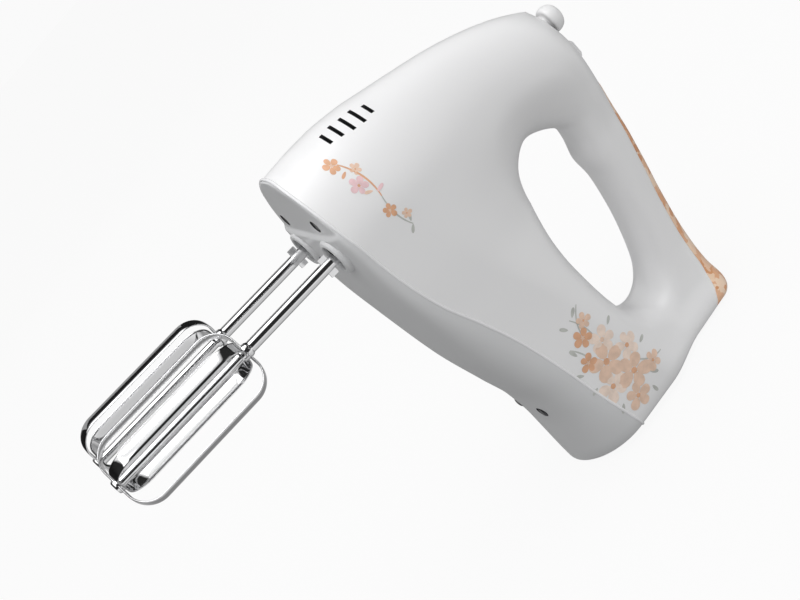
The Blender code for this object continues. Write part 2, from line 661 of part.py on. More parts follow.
for s, tag in ((1, "left"), (-1, "right")):
    prof = [(3.3, 10.0), (4.5, 10.0), (4.5, 24.5), (0.0, 24.5)]
    cup = [(0.0, 24.5 - 1.0), (3.3, 23.5), (3.3, 10.0), (4.5, 10.0), (4.5, 24.5), (0.0, 24.5)]
    V, F = lathe(cup, (BRUSH_X, 0, G), "y", 20)
    build("brush_holder_%s" % tag, ([(v[0], s * v[1], v[2]) for v in V], F), BRASS, (BRUSH_X, s * 17, G))
    V, F = rod(3.0, 8.3, 16.8, (BRUSH_X, 0, G), "y", 16)
    build("carbon_brush_%s" % tag, ([(v[0], s * v[1], v[2]) for v in V], F), CARBON, (BRUSH_X, s * 12, G))
    V, F = coil(2.2, 0.3, 17.1, 23.2, 4, (BRUSH_X, 0, G), "y", 10, 5)
    build("brush_spring_%s" % tag, ([(v[0], s * v[1], v[2]) for v in V], F), STEEL, (BRUSH_X, s * 20, G))
rear = build("rear_bracket", box(-92.5, -89.0, -23.5, 23.5, G - 12, G + 12), BLACK, (-90, 0, G))
for s, tag in ((1, "l"), (-1, "r")):
    y = sorted((s * 18.6, s * 23.5))
    cut(rear, cutter("brush_arm_%s" % tag, box(-90.0, -73.4, y[0], y[1], G - 6.5, G + 6.5)), 'UNION')
cut(rear, cutter("brush_seat", rod(4.8, -40, 40, (BRUSH_X, 0, G), "y", 20)))
cut(rear, cutter("rear_seat", rod(5.3, -96, -86, (0, 0, G), "x", 24)))
build("bearing_rear", tube(5.0, 2.9, -92.6, -87.2, (0, 0, G), "x", 24), BRASS, (-90, 0, G))

# ------------------------------------------------------------------ gear case
plate = [(-19.0, -32.0), (3.0, -31.5), (17.0, -26.8), (25.0, -14.0), (25.0, 14.0), (17.0, 26.8),
         (3.0, 31.5), (-19.0, 32.0)]
case = build("gear_case", slab(plate, 20.0, 24.0, "xy"), BLACK, (0, 0, 22))
for s, tag in ((1, "l"), (-1, "r")):
    for x, y, t in ((-16.4, 26.6, "a"), (15.8, 22.6, "b")):
        cut(case, cutter("post_%s%s" % (t, tag), rod(2.4, 23.0, 46.2, (x, s * y, 0), seg=14)), 'UNION')
    cut(case, cutter("sleeve_%s" % tag, rod(9.0, 8.0, 21.0, (0, s * 20.0, 0), seg=28)), 'UNION')
cut(case, cutter("front_wall", box(19.0, 23.6, -8.0, 8.0, 23.0, 42.0)), 'UNION')
cut(case, cutter("back_wall", box(-22.5, -18.6, -9.0, 9.0, 20.0, 43.0)), 'UNION')
for s, tag in ((1, "l"), (-1, "r")):
    cut(case, cutter("sleeve_bore_%s" % tag, rod(6.3, 4.0, 30.0, (0, s * 20.0, 0), seg=28)))
cut(case, cutter("front_seat", rod(5.3, 17.0, 26.0, (0, 0, G), "x", 24)))
cut(case, cutter("back_seat", rod(4.6, -26.0, -17.0, (0, 0, G), "x", 24)))
build("bearing_front", tube(5.0, 2.9, 18.6, 23.6, (0, 0, G), "x", 24), BRASS, (21, 0, G))
cover = [(-19.0, -29.2), (3.0, -29.0), (17.0, -25.2), (24.0, -14.0), (24.0, 14.0), (17.0, 25.2),
         (3.0, 29.0), (-19.0, 29.2)]
lid = build("gear_case_lid", slab(cover, 46.5, 49.0, "xy"), BLACK, (0, 0, 48))
for s, tag in ((1, "l"), (-1, "r")):
    cut(lid, cutter("lid_bore_%s" % tag, rod(2.7, 44.0, 52.0, (0, s * 20.0, 0), seg=20)))

# ------------------------------------------------------------------ electrics
build("circuit_board", box(-142.0, -104.0, -18.0, 18.0, 41.0, 42.6), BOARD, (-123, 0, 42))
build("capacitor", box(-132.0, -112.0, -11.0, 3.0, 42.9, 55.0), PEACH, (-122, -4, 49))
build("choke", tube(6.0, 2.5, 42.9, 49.5, (-135.0, 9.0, 0), seg=20), IRON, (-135, 9, 46))
build("cord_gland", lathe([(2.6, -173.8), (5.2, -173.8), (5.2, -170.0), (7.2, -170.0), (7.2, -167.0),
      (5.2, -167.0), (4.6, -157.4), (2.6, -157.4)], (0, 0, INLET_Z), "x", 24), RUBBER, (-170, 0, INLET_Z))
build("cord_clamp", box(-156.4, -151.4, -9.0, 9.0, 46.4, 49.2), BLACK, (-154, 0, 47))

# ------------------------------------------------------------------ screws
for i, (x, y) in enumerate(SCREWS):
    zf = ease(PAN_Z, x)
    build("sole_screw_%d" % (i + 1), lathe([(0, zf + 0.5), (2.2, zf + 0.5), (3.0, zf + 0.9),
          (3.0, zf + 1.5), (1.45, zf + 1.5), (1.45, zf + 13), (0, zf + 14.5)], (x, y, 0), seg=16),
          STEEL, (x, y, zf))

# ------------------------------------------------------------------ beaters
STRIP_W, STRIP_T = 6.4, 1.0


def loop(r, top, bot, ang, corner):
    """Closed flat strip bent into a rounded rectangle in a plane through the axis."""
    path = []
    for cx, cz, a0 in ((r - corner, top - corner, 90), (r - corner, bot + corner, 0),
                       (-r + corner, bot + corner, -90), (-r + corner, top - corner, 180)):
        for k in range(7):
            a = radians(a0 - 15 * k)
            path.append((cx + corner * cos(a), cz + corner * sin(a), cos(a), sin(a)))
    V, F = [], []
    ca, sa = cos(ang), sin(ang)
    for u, z, nu, nz in path:
        for t, w in ((0.0, -0.5), (0.0, 0.5), (-STRIP_T, 0.5), (-STRIP_T, -0.5)):
            uu, zz, ww = u + nu * t, z + nz * t, w * STRIP_W
            V.append((uu * ca - ww * sa, uu * sa + ww * ca, zz))
    n = len(path)
    for i in range(n):
        j = (i + 1) % n
        for k in range(4):
            k2 = (k + 1) % 4
            F.append((i * 4 + k, j * 4 + k, j * 4 + k2, i * 4 + k2))
    return V, F


def shift(vf, y):
    return [(v[0], v[1] + y, v[2]) for v in vf[0]], vf[1]


PHASE = {"left": 140.0, "right": 14.0}
for s, tag in ((1, "left"), (-1, "right")):
    y = s * 20.0
    stem = lathe([(0, BEATER_END - 1.2), (3.0, BEATER_END - 1.2), (3.4, BEATER_END - 0.4),
                  (3.4, BEATER_END + 1.6), (SHAFT_R - 0.5, BEATER_END + 2.2),
                  (SHAFT_R - 0.5, BEATER_TOP - 5.0), (3.9, BEATER_TOP - 4.0), (4.3, BEATER_TOP),
                  (4.0, BEATER_TOP + 2.4), (SHAFT_R, BEATER_TOP + 3.4), (SHAFT_R, 4.0),
                  (SHAFT_R - 0.6, 5.0), (SHAFT_R - 0.6, 7.6), (SHAFT_R, 8.6), (SHAFT_R, 16.0),
                  (SHAFT_R - 1.2, 18.0), (0, 18.0)], (0, y, 0), seg=20)
    bt = build("beater_%s" % tag, stem, CHROME, (0, y, 0))
    a = radians(PHASE[tag])
    cut(bt, cutter("ring_a_%s" % tag, shift(loop(BEATER_R, BEATER_TOP, BEATER_END, a, 12.0), y)), 'UNION')
    cut(bt, cutter("ring_b_%s" % tag, shift(loop(BEATER_R - 1.25, BEATER_TOP - 1.25, BEATER_END + 1.25,
                                                 a + pi / 2, 11.0), y)), 'UNION')
    cut(bt, cutter("ears_%s" % tag, shift(box(-5.4, 5.4, -0.7, 0.7, -20.5, -16.5), y)), 'UNION')
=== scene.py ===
"""Looks of the hand mixer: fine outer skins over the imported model.

Helper dimensions are millimetres in the "use" frame of the part (+x nose, +y the
left flank, +z away from the beaters); stand() turns them into the row frame.
"""
import json
import random
import bpy
import bmesh
import numpy as np
from math import radians, sin, cos, tan, pi, sqrt, atan2
from mathutils import Matrix, Vector


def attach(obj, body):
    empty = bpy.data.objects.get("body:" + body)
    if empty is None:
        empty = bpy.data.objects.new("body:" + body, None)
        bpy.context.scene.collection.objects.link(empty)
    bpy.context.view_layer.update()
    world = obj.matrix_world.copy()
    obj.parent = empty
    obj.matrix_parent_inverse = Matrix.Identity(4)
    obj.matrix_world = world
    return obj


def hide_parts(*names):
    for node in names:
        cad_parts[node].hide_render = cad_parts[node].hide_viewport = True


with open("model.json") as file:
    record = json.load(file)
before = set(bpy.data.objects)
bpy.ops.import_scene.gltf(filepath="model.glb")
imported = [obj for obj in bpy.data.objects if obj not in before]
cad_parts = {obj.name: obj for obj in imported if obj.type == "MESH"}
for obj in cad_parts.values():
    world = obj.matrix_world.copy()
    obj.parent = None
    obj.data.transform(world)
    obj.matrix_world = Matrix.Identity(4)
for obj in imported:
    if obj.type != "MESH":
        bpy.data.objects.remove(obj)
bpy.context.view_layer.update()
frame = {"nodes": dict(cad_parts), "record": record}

# ------------------------------------------------------------ profile of the body
HEEL_TILT = 5.5
HEEL_X, HEEL_Z = -173.0, 70.0
NOSE_X = {-10: 43.0, 0: 43.7, 10: 44.3, 20: 44.3, 38: 42.7, 55: 39.4, 70: 36.3,
          90: 31.8, 110: 25.6, 126: 19.0, 138: 12.4, 149: 4.8}
TOP_Z = {-176: 135.0, -166: 136.4, -152: 135.2, -130: 136.6, -107: 139.6, -83: 143.6,
         -62: 146.2, -43: 147.0, -26: 147.4, -12: 147.0, 0: 145.4, 9: 142.2, 14: 139.0, 45: 139.0}
SEAM_Z = {-178: 43.8, -142: 34.0, -115: 28.0, -89: 21.0, -67: 12.8, -46: 4.0, -24: -1.8,
          -11: -4.0, 0: -5.4, 9: -7.0, 24: -8.6, 36: -9.2, 46: -8.4}
PAN_Z = {-180: 12.4, -150: 12.6, -130: 10.6, -110: 4.8, -83: -2.6, -50: -7.8, -25: -11.0,
         0: -12.4, 9.4: -12.8, 12.6: -10.8, 20: -10.8, 36: -10.8, 46: -10.0}
PAN_E = {-176: 2.0, -110: 2.3, -83: 2.6, -50: 3.2, 0: 3.8, 45: 4.2}
BODY_W = {-176: 36.0, -150: 37.6, -120: 37.4, -90: 36.8, -60: 37.2, -30: 38.0,
          0: 37.6, 20: 35.6, 45: 30.0}
HANDLE_W = {-176: 33.0, -165: 27.5, -151: 20.0, -130: 15.5, -100: 14.5, -60: 15.0, -36: 20.0,
            -10: 26.0, 10: 27.0, 45: 27.0}
NOSE_ROUND, TOP_ROUND, HEEL_ROUND = 46.0, 14.0, 11.0
GRIP = [(-45, 118.2), (-37.4, 108.5), (-34.5, 97.5), (-41, 87), (-50, 81.3), (-62, 77.6),
        (-74, 75), (-87, 74), (-100, 74.6), (-115, 76.2), (-127, 78.6), (-138, 83), (-143.6, 91),
        (-141, 100), (-133, 106), (-121, 110.4), (-101, 115), (-79, 117.6), (-65, 116.6),
        (-54, 119)]
BEATER_TOP, BEATER_END, BEATER_R, SHAFT_R = -71.0, -150.6, 19.2, 2.9
EJECT_X = -2.0


def stand(p):
    x, y, z = p[0] - HEEL_X, p[1], p[2] - HEEL_Z
    s, c = sin(radians(HEEL_TILT)), cos(radians(HEEL_TILT))
    return (0.001 * (x * s + z * c), -0.001 * y, 0.001 * (x * c - z * s))


def turn(v):
    s, c = sin(radians(HEEL_TILT)), cos(radians(HEEL_TILT))
    return Vector((v[0] * s + v[2] * c, -v[1], v[0] * c - v[2] * s))


_tab = {}


def ease(table, x):
    """Monotone-slope cubic through the stations of a table."""
    key = id(table)
    if key not in _tab:
        xs = np.array(sorted(table), float)
        ys = np.array([table[k] for k in sorted(table)], float)
        d = np.diff(ys) / np.diff(xs)
        m = np.concatenate([[d[0]], np.where(d[:-1] * d[1:] > 0, 2 * d[:-1] * d[1:] /
                            np.where(d[:-1] + d[1:] == 0, 1, d[:-1] + d[1:]), 0.0), [d[-1]]])
        _tab[key] = (xs, ys, m)
    xs, ys, m = _tab[key]
    x = np.clip(np.asarray(x, float), xs[0], xs[-1])
    i = np.clip(np.searchsorted(xs, x, side='right') - 1, 0, len(xs) - 2)
    h = xs[i + 1] - xs[i]
    t = (x - xs[i]) / h
    return ((2 * t**3 - 3 * t**2 + 1) * ys[i] + (t**3 - 2 * t**2 + t) * h * m[i] +
            (-2 * t**3 + 3 * t**2) * ys[i + 1] + (t**3 - t**2) * h * m[i + 1])


def catmull(pts, per):
    pts = np.array(pts, float)
    out = []
    n = len(pts)
    for i in range(n):
        a, b, c, d = pts[i - 1], pts[i], pts[(i + 1) % n], pts[(i + 2) % n]
        for k in range(per):
            t = k / per
            out.append(0.5 * ((2 * b) + (c - a) * t + (2 * a - 5 * b + 4 * c - d) * t * t +
                              (3 * b - a - 3 * c + d) * t**3))
    return np.array(out)


def heel_x(z):
    return HEEL_X + (z - HEEL_Z) * tan(radians(HEEL_TILT))


def sq(t, p):
    t = np.clip(t, 0.0, 1.0)
    return (1 - (1 - t) ** p) ** (1 / p)


def half_width(x, z):
    lo = ease(SEAM_Z, x) + 27.0
    t = np.clip((z - lo) / (99.0 - lo), 0.0, 1.0)
    t = t * t * (3 - 2 * t)
    w = ease(BODY_W, x) * (1 - t) + ease(HANDLE_W, x) * t
    w = w * sq((ease(NOSE_X, z) - x) / NOSE_ROUND, 2.1)
    w = w * sq((ease(TOP_Z, x) - z) / TOP_ROUND, 2.2)
    r = np.clip((x - heel_x(z)) / HEEL_ROUND, 0.0, 1.0)
    w = w - HEEL_ROUND * 0.75 * (1 - np.sqrt(np.clip(1 - (1 - r) ** 2, 0, 1)))
    return np.maximum(w, 0.0)


HOLE = catmull(GRIP, 14)
SPINE_A, SPINE_B = np.array([-57.0, 98.5]), np.array([-122.0, 92.0])


def spine_point(p):
    d = SPINE_B - SPINE_A
    t = np.clip(np.dot(p - SPINE_A, d) / np.dot(d, d), 0.0, 1.0)
    return SPINE_A + d * t


def hole_hit(c, n):
    """Where the ray from c along n leaves the grip opening."""
    a, b = HOLE, np.roll(HOLE, -1, 0)
    e = b - a
    den = n[0] * e[:, 1] - n[1] * e[:, 0]
    den = np.where(np.abs(den) < 1e-12, 1e-12, den)
    t = ((a[:, 0] - c[0]) * e[:, 1] - (a[:, 1] - c[1]) * e[:, 0]) / den
    u = ((a[:, 0] - c[0]) * n[1] - (a[:, 1] - c[1]) * n[0]) / den
    ok = (t > 0) & (u >= -1e-9) & (u <= 1 + 1e-9)
    return float(t[ok].max())


def rim(d, n):
    """Factor that rolls the flank into the grip opening at distance d from it."""
    front = max(n[0], 0.0) ** 1.4
    r = 12.0 + 20.0 * front
    return sq(d / r, 2.1 + 0.2 * (1 - front))


def flank(x, z):
    """Half width of the finished flank, grip rolling included."""
    p = np.array([x, z], float)
    c = spine_point(p)
    v = p - c
    L = float(np.linalg.norm(v))
    n = v / max(L, 1e-9)
    d = L - hole_hit(c, n)
    return float(half_width(x, z) * rim(max(d, 0.0), n)) if d < 40 else float(half_width(x, z))


# -------------------------------------------------------------------- mesh helpers
def mesh_object(name, V, F, mats, smooth=True, angle=38.0, merge=2e-6, mm=True):
    me = bpy.data.meshes.new(name)
    me.from_pydata([stand(v) if mm else tuple(v) for v in V], [], [tuple(f) for f in F])
    bm = bmesh.new()
    bm.from_mesh(me)
    bmesh.ops.remove_doubles(bm, verts=bm.verts, dist=merge)
    bmesh.ops.dissolve_degenerate(bm, dist=1e-7, edges=bm.edges)
    bmesh.ops.recalc_face_normals(bm, faces=bm.faces)
    bm.to_mesh(me)
    bm.free()
    for m in (mats if isinstance(mats, (list, tuple)) else [mats]):
        me.materials.append(m)
    if smooth:
        me.shade_smooth()
        me.set_sharp_from_angle(angle=radians(angle))
    ob = bpy.data.objects.new(name, me)
    bpy.context.scene.collection.objects.link(ob)
    return ob


def cut(ob, V, F, mat):
    """One Boolean difference with a set of separate closed cutters, then applied."""
    tool = mesh_object("tool", V, F, mat, smooth=False, merge=1e-7)
    m = ob.modifiers.new("cut", 'BOOLEAN')
    m.operation, m.object, m.solver = 'DIFFERENCE', tool, 'EXACT'
    m.material_mode = 'TRANSFER'
    bpy.context.view_layer.update()
    dg = bpy.context.evaluated_depsgraph_get()
    me = bpy.data.meshes.new_from_object(ob.evaluated_get(dg))
    ob.modifiers.clear()
    ob.data = me
    me.set_sharp_from_angle(angle=radians(38))
    bpy.data.objects.remove(tool, do_unlink=True)


def join(*vfs):
    V, F = [], []
    for v, f in vfs:
        k = len(V)
        V += [tuple(p) for p in v]
        F += [tuple(i + k for i in q) for q in f]
    return V, F


def lathe(prof, at, axis="z", seg=64):
    frames = {"z": ((1, 0, 0), (0, 1, 0), (0, 0, 1)), "x": ((0, 1, 0), (0, 0, 1), (1, 0, 0))}
    a, b, c = (np.array(q, float) for q in frames[axis])
    at = np.array(at, float)
    V, rings = [], []
    for r, h in prof:
        if r < 1e-9:
            rings.append([len(V)])
            V.append(at + c * h)
        else:
            rings.append(list(range(len(V), len(V) + seg)))
            for k in range(seg):
                t = 2 * pi * k / seg + 0.05
                V.append(at + c * h + r * (cos(t) * a + sin(t) * b))
    F = []
    closed = prof[0][0] > 1e-9
    m = len(prof)
    for i in range(m if closed else m - 1):
        p, q = rings[i], rings[(i + 1) % m]
        for k in range(seg):
            k2 = (k + 1) % seg
            if len(p) == 1 and len(q) == 1:
                continue
            if len(p) == 1:
                F.append((p[0], q[k2], q[k]))
            elif len(q) == 1:
                F.append((p[k], p[k2], q[0]))
            else:
                F.append((p[k], p[k2], q[k2], q[k]))
    return V, F


def slab(outline, y0, y1):
    n = len(outline)
    V = [(x, y0, z) for x, z in outline] + [(x, y1, z) for x, z in outline]
    F = [tuple(range(n)), tuple(reversed(range(n, 2 * n)))]
    F += [(i, n + i, n + (i + 1) % n, (i + 1) % n) for i in range(n)]
    return V, F


def fillet(prof, r, n=5):
    """Rounds the inner corners of an (r, h) profile."""
    out = [prof[0]]
    for i in range(1, len(prof) - 1):
        p, q, s = (np.array(prof[k], float) for k in (i - 1, i, i + 1))
        a, b = p - q, s - q
        la, lb = np.linalg.norm(a), np.linalg.norm(b)
        k = min(r, la * 0.45, lb * 0.45)
        a, b = q + a / la * k, q + b / lb * k
        for j in range(n + 1):
            t = j / n
            out.append(tuple((1 - t) ** 2 * a + 2 * t * (1 - t) * q + t * t * b))
    out.append(prof[-1])
    return out


# ----------------------------------------------------------------------- materials
def nodes_of(name):
    m = bpy.data.materials.new(name)
    m.use_nodes = True
    return m, m.node_tree.nodes, m.node_tree.links, m.node_tree.nodes["Principled BSDF"]


def plastic(name, rgb, rough, vary=0.03, bump=0.02, scale=900.0, spec=0.5, coat=0.0, tint=0.02):
    """Moulded plastic: faint colour drift, uneven gloss and a fine surface texture."""
    m, N, L, b = nodes_of(name)
    tc = N.new("ShaderNodeTexCoord")
    big = N.new("ShaderNodeTexNoise")
    big.inputs["Scale"].default_value = 22.0
    big.inputs["Detail"].default_value = 3.0
    fine = N.new("ShaderNodeTexNoise")
    fine.inputs["Scale"].default_value = scale
    fine.inputs["Detail"].default_value = 2.0
    L.new(tc.outputs["Object"], big.inputs["Vector"])
    L.new(tc.outputs["Object"], fine.inputs["Vector"])
    ramp = N.new("ShaderNodeValToRGB")
    ramp.color_ramp.elements[0].color = tuple(c * (1 - tint) for c in rgb) + (1,)
    ramp.color_ramp.elements[1].color = tuple(min(c * (1 + tint), 1) for c in rgb) + (1,)
    L.new(big.outputs["Fac"], ramp.inputs["Fac"])
    L.new(ramp.outputs["Color"], b.inputs["Base Color"])
    mr = N.new("ShaderNodeMapRange")
    mr.inputs["To Min"].default_value = rough - vary
    mr.inputs["To Max"].default_value = rough + vary
    L.new(big.outputs["Fac"], mr.inputs["Value"])
    L.new(mr.outputs["Result"], b.inputs["Roughness"])
    bp = N.new("ShaderNodeBump")
    bp.inputs["Strength"].default_value = bump
    bp.inputs["Distance"].default_value = 0.0002
    L.new(fine.outputs["Fac"], bp.inputs["Height"])
    L.new(bp.outputs["Normal"], b.inputs["Normal"])
    b.inputs["Specular IOR Level"].default_value = spec
    b.inputs["Coat Weight"].default_value = coat
    b.inputs["Coat Roughness"].default_value = 0.12
    return m


def metal(name, rgb, rough, scratch=0.02, aniso=0.0):
    """Plated or drawn metal with fine draw lines."""
    m, N, L, b = nodes_of(name)
    tc = N.new("ShaderNodeTexCoord")
    mp = N.new("ShaderNodeMapping")
    mp.inputs["Scale"].default_value = (40.0, 700.0, 700.0)
    no = N.new("ShaderNodeTexNoise")
    no.inputs["Scale"].default_value = 1.0
    no.inputs["Detail"].default_value = 4.0
    L.new(tc.outputs["Object"], mp.inputs["Vector"])
    L.new(mp.outputs["Vector"], no.inputs["Vector"])
    mr = N.new("ShaderNodeMapRange")
    mr.inputs["To Min"].default_value = max(rough - scratch, 0.02)
    mr.inputs["To Max"].default_value = rough + scratch
    L.new(no.outputs["Fac"], mr.inputs["Value"])
    L.new(mr.outputs["Result"], b.inputs["Roughness"])
    ramp = N.new("ShaderNodeValToRGB")
    ramp.color_ramp.elements[0].color = tuple(c * 0.94 for c in rgb) + (1,)
    ramp.color_ramp.elements[1].color = tuple(rgb) + (1,)
    L.new(no.outputs["Fac"], ramp.inputs["Fac"])
    L.new(ramp.outputs["Color"], b.inputs["Base Color"])
    b.inputs["Metallic"].default_value = 1.0
    return m


def mottled(name):
    """Printed strip: orange, peach and pale blotches like loose petals."""
    m, N, L, b = nodes_of(name)
    tc = N.new("ShaderNodeTexCoord")
    vo = N.new("ShaderNodeTexVoronoi")
    vo.inputs["Scale"].default_value = 190.0
    vo.inputs["Randomness"].default_value = 1.0
    no = N.new("ShaderNodeTexNoise")
    no.inputs["Scale"].default_value = 130.0
    no.inputs["Detail"].default_value = 4.0
    L.new(tc.outputs["Object"], no.inputs["Vector"])
    mix = N.new("ShaderNodeMix")
    mix.data_type = 'VECTOR'
    mix.inputs[0].default_value = 0.012
    L.new(tc.outputs["Object"], mix.inputs[4])
    L.new(no.outputs["Color"], mix.inputs[5])
    L.new(mix.outputs[1], vo.inputs["Vector"])
    ramp = N.new("ShaderNodeValToRGB")
    e = ramp.color_ramp
    e.interpolation = 'EASE'
    e.elements[0].position, e.elements[0].color = 0.0, (0.68, 0.31, 0.14, 1)
    e.elements[1].position, e.elements[1].color = 1.0, (0.90, 0.66, 0.48, 1)
    for pos, col in ((0.3, (0.76, 0.38, 0.19, 1)), (0.55, (0.82, 0.48, 0.29, 1)),
                     (0.75, (0.92, 0.72, 0.56, 1))):
        k = e.elements.new(pos)
        k.color = col
    sep = N.new("ShaderNodeSeparateColor")
    L.new(vo.outputs["Color"], sep.inputs["Color"])
    L.new(sep.outputs["Red"], ramp.inputs["Fac"])
    L.new(ramp.outputs["Color"], b.inputs["Base Color"])
    mr = N.new("ShaderNodeMapRange")
    mr.inputs["To Min"].default_value = 0.26
    mr.inputs["To Max"].default_value = 0.36
    L.new(no.outputs["Fac"], mr.inputs["Value"])
    L.new(mr.outputs["Result"], b.inputs["Roughness"])
    return m


def printed(name, rgb, drift=0.08):
    """Ink of the printed decoration, with uneven colour inside each petal."""
    m, N, L, b = nodes_of(name)
    tc = N.new("ShaderNodeTexCoord")
    no = N.new("ShaderNodeTexNoise")
    no.inputs["Scale"].default_value = 260.0
    no.inputs["Detail"].default_value = 3.0
    L.new(tc.outputs["Object"], no.inputs["Vector"])
    ramp = N.new("ShaderNodeValToRGB")
    ramp.color_ramp.elements[0].color = tuple(c * (1 - drift) for c in rgb) + (1,)
    ramp.color_ramp.elements[0].position = 0.35
    ramp.color_ramp.elements[1].color = tuple(min(c * (1 + drift), 1) for c in rgb) + (1,)
    ramp.color_ramp.elements[1].position = 0.65
    L.new(no.outputs["Fac"], ramp.inputs["Fac"])
    L.new(ramp.outputs["Color"], b.inputs["Base Color"])
    b.inputs["Roughness"].default_value = 0.34
    return m


WHITE = plastic("shell_white", (0.81, 0.81, 0.815), 0.30, vary=0.015, bump=0.012, coat=0.1, tint=0.004)
SOLE = plastic("sole_grey", (0.64, 0.645, 0.652), 0.40, vary=0.03, bump=0.05, scale=1500.0, tint=0.01)
SEAM = plastic("seam_white", (0.82, 0.82, 0.83), 0.22, vary=0.02, bump=0.01)
# near-black colour on the walls of the cut vents, bores and switch slot: painted shade inside the recesses
RECESS_SHADE = plastic("slot_painted_shade", (0.030, 0.030, 0.033), 0.55, vary=0.05, bump=0.03)
# near-black colour on the walls of the beater sockets and screw recesses: painted shade inside the holes
SOCKET_SHADE = plastic("socket_painted_shade", (0.055, 0.055, 0.06), 0.5, vary=0.05, bump=0.03)
BLACK = plastic("black_part", (0.03, 0.03, 0.032), 0.45, vary=0.05, bump=0.04)
NYLON = plastic("nylon_dark", (0.10, 0.10, 0.105), 0.5, vary=0.05, bump=0.03)
RUBBER = plastic("rubber_grey", (0.35, 0.35, 0.36), 0.6, vary=0.05, bump=0.08)
BOARD = plastic("board_green", (0.06, 0.25, 0.11), 0.45, vary=0.08, bump=0.05, tint=0.15)
CARBON = plastic("carbon", (0.05, 0.05, 0.055), 0.6, vary=0.05, bump=0.08)
STRIP = mottled("strip_print")
CHROME = metal("chrome_plate", (0.92, 0.92, 0.93), 0.07, 0.012)
STEEL = metal("steel_zinc", (0.50, 0.50, 0.52), 0.32, 0.08)
IRON = metal("iron_laminate", (0.30, 0.30, 0.32), 0.45, 0.10)
SCREW = metal("screw_dark", (0.12, 0.12, 0.125), 0.38, 0.08)
COPPER = metal("copper_enamel", (0.72, 0.33, 0.16), 0.32, 0.08)
BRASS = metal("brass_plain", (0.78, 0.58, 0.27), 0.28, 0.08)
INK_PEACH = printed("ink_peach", (0.78, 0.56, 0.43))
INK_ORANGE = printed("ink_orange", (0.72, 0.40, 0.24))
INK_PALE = printed("ink_pale", (0.85, 0.70, 0.60))
INK_LEAF = printed("ink_leaf", (0.50, 0.51, 0.48))
INK_PINK = printed("ink_pink", (0.80, 0.56, 0.58))

by_slot = {"white_gloss": WHITE, "grey_plastic": SOLE, "orange_plastic": STRIP, "chrome": CHROME,
           "steel": STEEL, "laminated_iron": IRON, "copper": COPPER, "brass": BRASS, "nylon": NYLON,
           "black_plastic": BLACK, "carbon": CARBON, "board": BOARD, "rubber": RUBBER}
for part in frame["record"]["subparts"]:
    ob = frame["nodes"][part["node"]]
    ob.data.materials.clear()
    ob.data.materials.append(by_slot[part["material_slot"]])
    if part["node"].startswith("sole_screw"):
        ob.data.materials[0] = SCREW
    ob.data.shade_smooth()
    ob.data.set_sharp_from_angle(angle=radians(32))

# ------------------------------------------------------------------------- housing
x_a, x_b = 43.1, float(heel_x(43.4))
z_t = 142.1
outer = []
kind = []


def run(pts, k):
    for p in pts:
        outer.append((float(p[0]), float(p[1])))
        kind.append(k)


t = np.linspace(0, 1, 151)[:-1]
xs = x_b + (x_a - x_b) * t
run(zip(xs, ease(SEAM_Z, xs)), 's')
t = np.linspace(0, 1, 101)[:-1]
za = float(ease(SEAM_Z, x_a))
zs = za + (z_t - za) * t
run(zip(ease(NOSE_X, zs) + (x_a - ease(NOSE_X, za)) * (1 - t), zs), 'n')
x_t = float(ease(NOSE_X, z_t))
x_r = float(heel_x(136.3))
t = np.linspace(0, 1, 171)[:-1]
xs = x_t + (x_r - x_t) * t
run(zip(xs, ease(TOP_Z, xs) + (z_t - ease(TOP_Z, x_t)) * (1 - t) ** 8), 't')
z_r, z_b = float(ease(TOP_Z, x_r)), float(ease(SEAM_Z, x_b))
t = np.linspace(0, 1, 81)[:-1]
zs = z_r + (z_b - z_r) * t
run(zip(heel_x(zs), zs), 'h')
N, M = len(outer), 92
ts = 0.5 * (1 - np.cos(pi * np.arange(M + 1) / M))
V, L, R = [], {}, {}
for k in range(N):
    o = np.array(outer[k])
    c = spine_point(o)
    v = o - c
    n = v / np.linalg.norm(v)
    h = c + n * hole_hit(c, n)
    P = h[None, :] + (o - h)[None, :] * ts[:, None]
    d = np.linalg.norm(o - h) * ts
    w = half_width(P[:, 0], P[:, 1]) * rim(d, n)
    for j in range(M + 1):
        wj = float(w[j])
        if j == 0 or (j == M and kind[k] in 'nt'):
            wj = 0.0
        L[k, j] = len(V)
        V.append((P[j, 0], wj, P[j, 1]))
        R[k, j] = len(V)
        V.append((P[j, 0], -wj, P[j, 1]))
F = []
for k in range(N):
    q = (k + 1) % N
    for j in range(M):
        F.append((L[k, j], L[q, j], L[q, j + 1], L[k, j + 1]))
        F.append((R[k, j], R[k, j + 1], R[q, j + 1], R[q, j]))
    if kind[k] in 'sh':
        F.append((L[k, M], L[q, M], R[q, M], R[k, M]))
housing = mesh_object("shell_housing", V, F, [WHITE, RECESS_SHADE], angle=42)

tools = []
for k in range(5):
    z0 = 21.0 + 5.9 * k
    half = (3.4, 4.3, 4.6, 4.7, 2.9)[k]
    mid = (14.0, 14.0, 14.6, 14.6, 15.0)[k]
    for s in (1, -1):
        a, b = s * (mid - half), s * (mid + half)
        tools.append(slab([(52.0, z0 - 1.0), (52.0, z0 + 1.0), (27.0, z0 + 1.4), (27.0, z0 - 0.5)],
                          min(a, b), max(a, b)))
tools.append(lathe([(0, 141.3), (7.9, 141.3), (7.9, 162), (0, 162)], (EJECT_X, 0, 0)))
tools.append(slab([(-36.4, 138.0), (-14.6, 138.0), (-14.6, 158.0), (-36.4, 158.0)], -3.3, 3.3))
tools.append(lathe([(0, -188), (5.6, -188), (5.6, -158), (0, -158)], (0, 0, 52.0), "x"))
# the cut walls take the cutter's near-black material: painted shade in the vents, eject bore, switch slot and cord
# bore
cut(housing, *join(*tools), [RECESS_SHADE])
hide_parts("main_housing")
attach(housing, "body")

